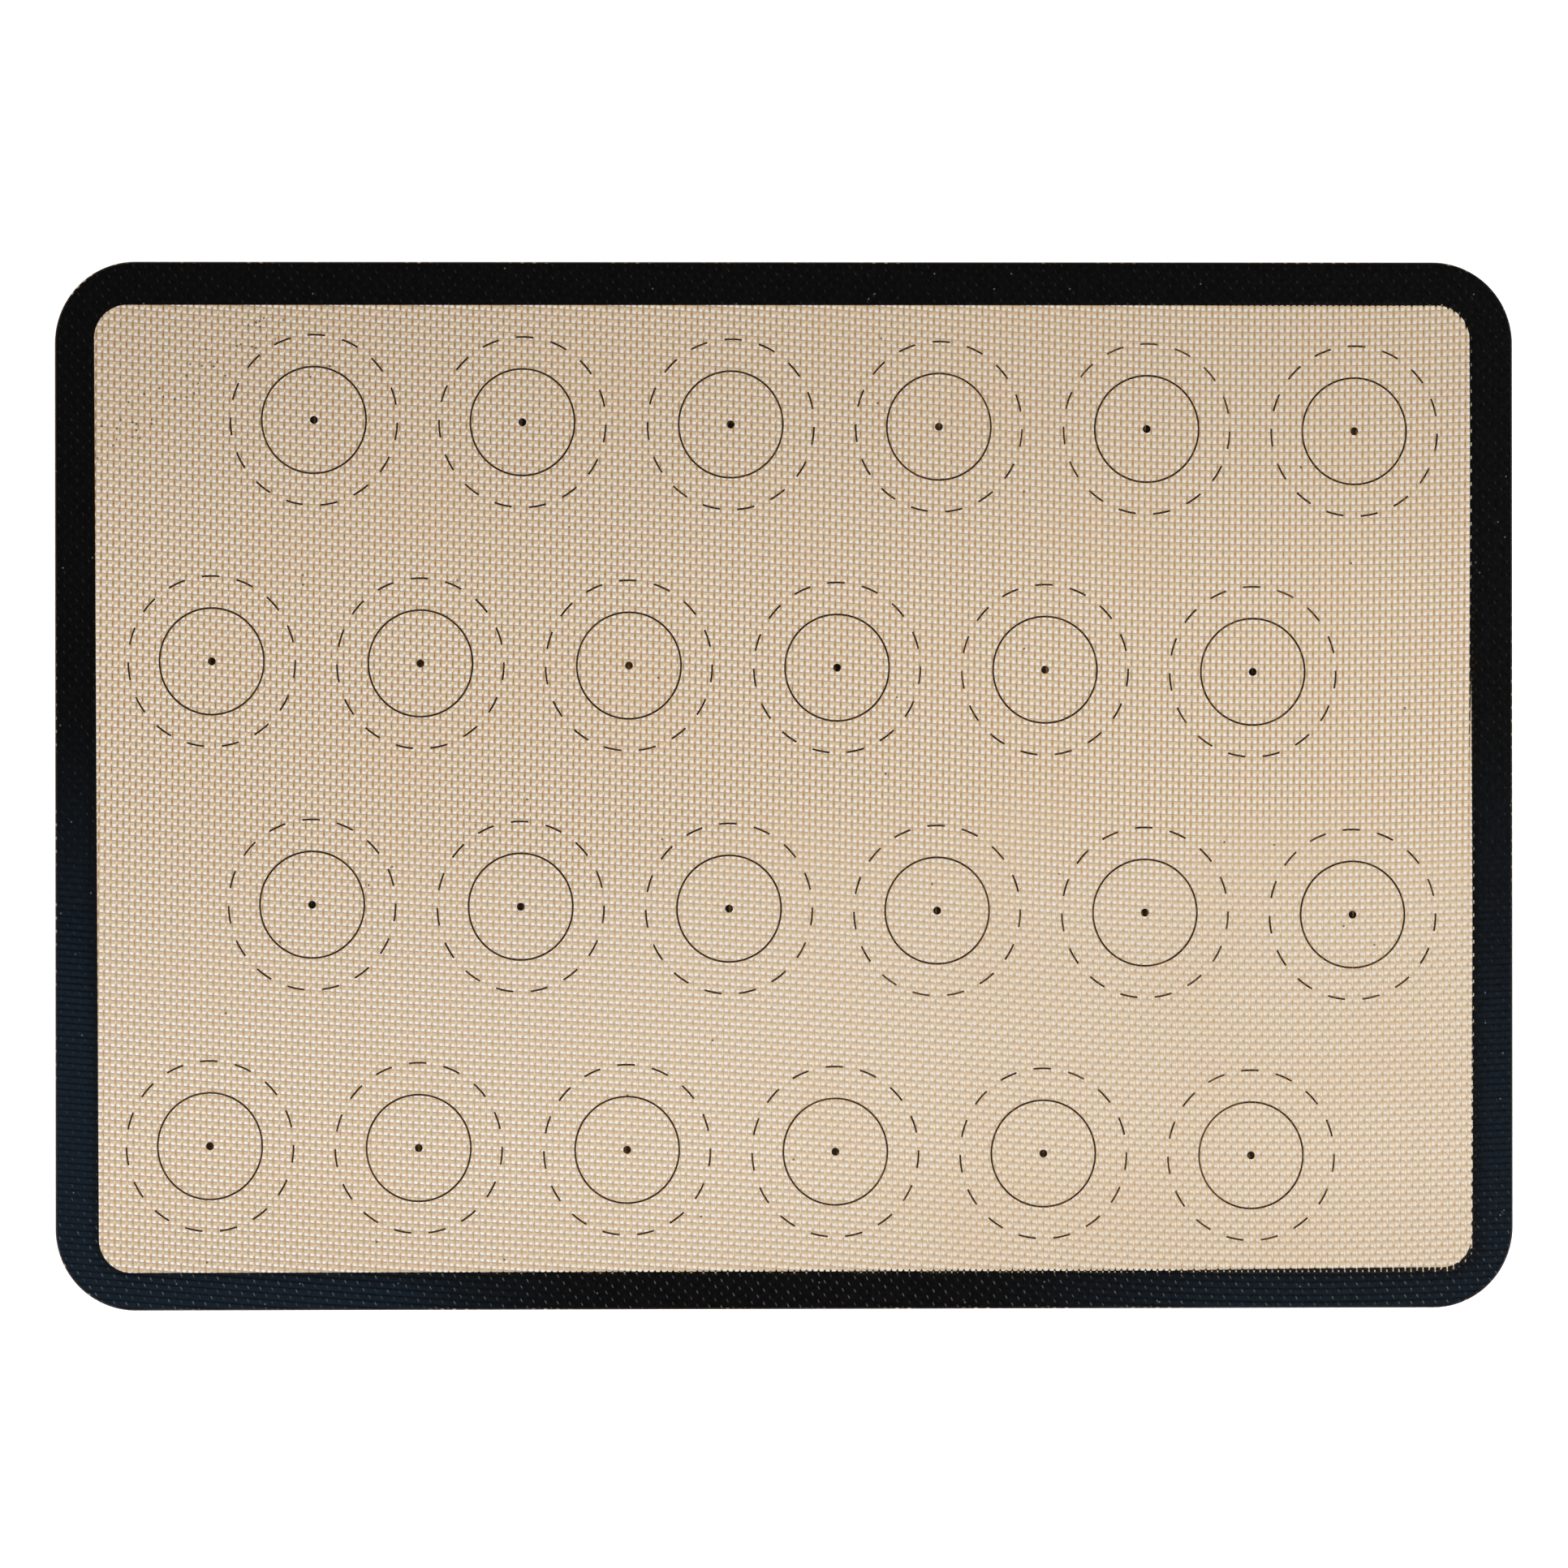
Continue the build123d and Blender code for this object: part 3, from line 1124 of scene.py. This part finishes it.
def clothTree():
    inputs = {
        "Columns": "NodeSocketInt",
        "Rows": "NodeSocketInt",
        "Level": "NodeSocketFloat",
        "Swing": "NodeSocketFloat",
        "Inset": "NodeSocketFloat",
        "Material": "NodeSocketMaterial",
    }
    tree, graph, given, identifiers = newTree("plain weave", inputs)
    grid = graph.wire("GeometryNodeMeshGrid", 0, None, {
        "Size X": 1.0,
        "Size Y": 1.0,
        "Vertices X": given["Columns"] * 2 + 1,
        "Vertices Y": given["Rows"] * 2 + 1,
    })
    shareX, shareY = graph.split(graph.wire("GeometryNodeInputPosition"))[:2]
    column = (shareX * given["Columns"] * 2).math("ROUND")
    row = (shareY * given["Rows"] * -2).math("ROUND")
    x, y = fromWeave(column + 0.5, row + cellShape["padPlace"])
    up = ((column + row) / 2).math("FRACT").math("GREATER_THAN", 0.25)
    z = given["Level"] + (up - 0.5) * given["Swing"]
    moved = graph.wire("GeometryNodeSetPosition", 0, None, {
        "Geometry": grid,
        "Position": graph.join(x, y, z),
    })
    middleX, middleY = graph.split(graph.wire("GeometryNodeInputPosition"))[:2]
    beyond = (pastMat(graph, middleX, middleY) + given["Inset"]).math("GREATER_THAN", 0)
    kept = graph.wire("GeometryNodeDeleteGeometry", 0, {"domain": "FACE"}, {
        "Geometry": moved,
        "Selection": beyond,
    })
    endTree(graph, kept, given["Material"])
    return tree, identifiers


def clothPiece():
    mesh = grow("cloth", *clothTree(), {
        "Columns": columnsAcross,
        "Rows": rowsAcross,
        "Level": (clothLow.z + clothHigh.z + cloth["thickness"]) / 2,
        "Swing": cloth["swing"],
        "Inset": cloth["inset"],
        "Material": clothMaterial,
    })
    made = putInScene("cloth", mesh, clothMaterial)
    thicken = made.modifiers.new("thickness", "SOLIDIFY")
    thicken.thickness = cloth["thickness"]
    thicken.offset = -1
    state = bpy.context.evaluated_depsgraph_get()
    mesh = bpy.data.meshes.new_from_object(made.evaluated_get(state), depsgraph=state)
    made.modifiers.clear()
    made.data = mesh
    return made


woven = clothPiece()
dress(woven, "glass_cloth", "glass_cloth")
print("cloth made")

# Guide marks, ribbons of ink draped over the relief
ink = {
    "line": 0.5 * millimetre,
    "proud": 0.03 * millimetre,
    "sunk": 0.08 * millimetre,
    "follow": 0.6,          # how far the ink follows the grooves
    "ringSteps": 200,
    "spreadRadius": 24 * millimetre,
    "dotRadius": 1.13 * millimetre,
    "dashes": 15,
    "dashAngle": math.radians(12.0),
    "firstDash": math.radians(12.75),
    "topRowTurn": math.radians(-2.4),    # the top row's dashes are turned a little further
    "dashSteps": 10,
    "dotsInRow": 6,
    "dotRounding": 4,
}


def draped(graph, geometry):
    # lets a flat print sink into the grooves below it
    x, y = graph.split(graph.wire("GeometryNodeInputPosition"))[:2]
    fall = hollow(graph, *toWeave(x, y)) * (coats["depth"] * ink["follow"])
    values = {"Geometry": geometry, "Offset": graph.join(0.0, 0.0, -fall)}
    return graph.wire("GeometryNodeSetPosition", 0, None, values)


def ribbon(graph, curve, fill):
    # a flat strip of ink along a curve, from sunk below the coat to proud of it
    height = ink["proud"] + ink["sunk"]
    strip = graph.wire("GeometryNodeCurvePrimitiveQuadrilateral", 0, None, {
        "Width": ink["line"],
        "Height": height,
    })
    return graph.wire("GeometryNodeCurveToMesh", 0, None, {
        "Curve": curve,
        "Profile Curve": strip,
        "Fill Caps": fill,
    })


inkLevel = topHigh.z + (ink["proud"] - ink["sunk"]) / 2


def ringTree():
    inputs = {
        "Centre": "NodeSocketVector",
        "Radius": "NodeSocketFloat",
        "Steps": "NodeSocketInt",
        "Material": "NodeSocketMaterial",
    }
    tree, graph, given, identifiers = newTree("printed ring", inputs)
    circle = graph.wire("GeometryNodeCurvePrimitiveCircle", 0, {"mode": "RADIUS"}, {
        "Resolution": given["Steps"],
        "Radius": given["Radius"],
    })
    ring = ribbon(graph, circle, False)
    ring = graph.wire("GeometryNodeTransform", 0, None, {"Geometry": ring, "Translation": given["Centre"]})
    endTree(graph, draped(graph, ring), given["Material"])
    return tree, identifiers


def dashTree():
    inputs = {
        "Centre": "NodeSocketVector",
        "Radius": "NodeSocketFloat",
        "Count": "NodeSocketInt",
        "First": "NodeSocketFloat",
        "Sweep": "NodeSocketFloat",
        "Material": "NodeSocketMaterial",
    }
    tree, graph, given, identifiers = newTree("printed dashes", inputs)
    arc = graph.wire("GeometryNodeCurveArc", 0, {"mode": "RADIUS"}, {
        "Resolution": ink["dashSteps"],
        "Radius": given["Radius"],
        "Start Angle": 0.0,
        "Sweep Angle": given["Sweep"],
    })
    dash = ribbon(graph, arc, True)
    centres = graph.wire("GeometryNodePoints", 0, None, {
        "Count": given["Count"],
        "Position": given["Centre"],
    })
    turn = graph.wire("GeometryNodeInputIndex") * math.tau / given["Count"] + given["First"]
    dashes = graph.wire("GeometryNodeInstanceOnPoints", 0, None, {
        "Points": centres,
        "Instance": dash,
        "Rotation": graph.join(0.0, 0.0, turn),
    })
    dashes = graph.wire("GeometryNodeRealizeInstances", 0, None, {0: dashes})
    endTree(graph, draped(graph, dashes), given["Material"])
    return tree, identifiers


def dotTree():
    inputs = {
        "First": "NodeSocketVector",
        "Last": "NodeSocketVector",
        "Count": "NodeSocketInt",
        "Radius": "NodeSocketFloat",
        "Height": "NodeSocketFloat",
        "Material": "NodeSocketMaterial",
    }
    tree, graph, given, identifiers = newTree("printed dots", inputs)
    line = graph.wire("GeometryNodeMeshLine", 0, {"mode": "END_POINTS", "count_mode": "TOTAL"}, {
        "Count": given["Count"],
        "Start Location": given["First"],
        "Offset": given["Last"],
    })
    ball = graph.wire("GeometryNodeMeshIcoSphere", 0, None, {
        "Radius": 1.0,
        "Subdivisions": ink["dotRounding"],
    })
    dots = graph.wire("GeometryNodeInstanceOnPoints", 0, None, {
        "Points": line,
        "Instance": ball,
        "Scale": graph.join(given["Radius"], given["Radius"], given["Height"]),
    })
    dots = graph.wire("GeometryNodeRealizeInstances", 0, None, {0: dots})
    endTree(graph, draped(graph, dots), given["Material"])
    return tree, identifiers


def middleOf(node):
    low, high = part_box(node)
    return (low + high) / 2


rings = ringTree()
dashRings = dashTree()
dots = dotTree()
marks = [name for name in sorted(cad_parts) if name.startswith("piping_circle")]
for ringNode in marks:
    cellName = ringNode.removeprefix("piping_circle_")
    dashNode = "spread_circle_" + cellName
    rowTurn = ink["topRowTurn"] if cellName.startswith("r1") else 0.0
    low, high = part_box(ringNode)
    centre = middleOf(ringNode)
    centre.z = inkLevel
    mesh = grow("piping_ring_" + cellName, *rings, {
        "Centre": centre,
        "Radius": (high.x - low.x - ink["line"]) / 2,
        "Steps": ink["ringSteps"],
        "Material": inkMaterial,
    })
    dress(putInScene("piping_ring_" + cellName, mesh, inkMaterial), "guide_ink", ringNode)
    mesh = grow("spread_ring_" + cellName, *dashRings, {
        "Centre": centre,
        "Radius": ink["spreadRadius"],
        "Count": ink["dashes"],
        "First": ink["firstDash"] + rowTurn,
        "Sweep": ink["dashAngle"],
        "Material": inkMaterial,
    })
    dress(putInScene("spread_ring_" + cellName, mesh, inkMaterial), "guide_ink", dashNode)
dotRows = [name for name in sorted(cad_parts) if name.startswith("centre_dots_row")]
for dotsNode in dotRows:
    number = dotsNode.removeprefix("centre_dots_row_")
    first = middleOf(f"piping_circle_r{number}_c1")
    last = middleOf(f"piping_circle_r{number}_c{ink['dotsInRow']}")
    first.z = topHigh.z
    last.z = topHigh.z
    name = f"dots_row_{number}"
    mesh = grow(name, *dots, {
        "First": first,
        "Last": last,
        "Count": ink["dotsInRow"],
        "Radius": ink["dotRadius"],
        "Height": ink["proud"],
        "Material": dotMaterial,
    })
    dress(putInScene(name, mesh, dotMaterial), "guide_ink", dotsNode)
print("guide marks made")

# Studio: white floor, soft lamps round the mat and a dim sky
studio = {
    "floorSide": 8.0,
    "floorDrop": 0.02 * millimetre,
    "floorGlow": 0.75,
    "floorColour": (0.8, 0.8, 0.8, 1.0),
    "skyStrength": 0.06,
    "white": (1.0, 1.0, 1.0, 1.0),
}
lamps = {
    "front": {"at": (0.0, -1.1, 0.85), "size": (1.2, 0.6), "power": 13.0},
    "left": {"at": (-1.2, -0.25, 0.8), "size": (0.6, 1.0), "power": 9.0},
    "right": {"at": (1.2, -0.25, 0.8), "size": (0.6, 1.0), "power": 9.0},
    "back": {"at": (0.0, 1.2, 0.8), "size": (1.2, 0.6), "power": 7.0},
}


def floorMaterial():
    made, graph = newMaterial("floorPaper")
    path = graph.add("ShaderNodeLightPath")
    shown = Wire(graph, path.outputs["Is Camera Ray"])
    shown = shown.math("MAXIMUM", Wire(graph, path.outputs["Is Glossy Ray"]))
    shown = shown.math("MAXIMUM", Wire(graph, path.outputs["Is Transmission Ray"]))
    matt = graph.wire("ShaderNodeBsdfDiffuse", 0, None, {"Color": studio["floorColour"]})
    glow = graph.wire("ShaderNodeEmission", 0, None, {
        "Color": studio["white"],
        "Strength": shown * studio["floorGlow"],
    })
    both = graph.wire("ShaderNodeAddShader", 0, None, {0: matt, 1: glow})
    graph.add("ShaderNodeOutputMaterial", None, {"Surface": both})
    return made


def makeFloor():
    half = studio["floorSide"] / 2
    mesh = bpy.data.meshes.new("floor")
    level = cadLow.z - studio["floorDrop"]
    corners = [(-half, -half, level), (half, -half, level), (half, half, level), (-half, half, level)]
    mesh.from_pydata(corners, [], [(0, 1, 2, 3)])
    putInScene("floor", mesh, floorMaterial())


def makeLamps():
    for name, lamp in lamps.items():
        light = bpy.data.lights.new(name, "AREA")
        light.shape = "RECTANGLE"
        light.size, light.size_y = lamp["size"]
        light.energy = lamp["power"]
        made = bpy.data.objects.new(name, light)
        made.location = lamp["at"]
        towards = -made.location
        made.rotation_euler = towards.to_track_quat("-Z", "Y").to_euler()
        made.visible_camera = False
        bpy.context.scene.collection.objects.link(made)


def makeSky():
    world = bpy.data.worlds.new("studio")
    world.use_nodes = True
    bpy.context.scene.world = world
    graph = Graph(world.node_tree)
    shown = graph.wire("ShaderNodeLightPath", "Is Camera Ray")
    strength = graph.ramp(shown, 0.0, 1.0, studio["skyStrength"], 1.0)
    sky = graph.wire("ShaderNodeBackground", 0, None, {"Color": studio["white"], "Strength": strength})
    graph.add("ShaderNodeOutputWorld", None, {"Surface": sky})


# Camera high above the mat and a little to one side, which narrows its length by 2.3 %
camera = {
    "lens": 1700.0,           # mm
    "sensor": 36.0,           # mm
    "clipStart": 1.0,         # metres
    "clipSpare": 1.5,
    "turn": math.radians(-12.2),
    "roll": math.radians(-0.05),
    "photoSide": 1932.0,      # px
    "photoMatWidth": 1290.0,  # px
    "aimShift": -0.28 * millimetre,
    "aimRise": 0.47 * millimetre,
}


def makeCamera():
    data = bpy.data.cameras.new("camera")
    data.lens = camera["lens"]
    data.sensor_width = camera["sensor"]
    shown = matWidth * camera["photoSide"] / camera["photoMatWidth"]
    distance = shown * camera["lens"] / camera["sensor"]
    data.clip_start = camera["clipStart"]
    data.clip_end = distance * camera["clipSpare"]
    made = bpy.data.objects.new("camera", data)
    made.rotation_euler = (0.0, camera["turn"], camera["roll"])
    made.location = made.rotation_euler.to_matrix().col[2] * distance
    made.location.x += camera["aimShift"]
    made.location.y += camera["aimRise"]
    bpy.context.scene.collection.objects.link(made)
    bpy.context.scene.camera = made


makeFloor()
makeLamps()
makeSky()
makeCamera()
bpy.context.scene.view_settings.view_transform = "Standard"
print("studio made")
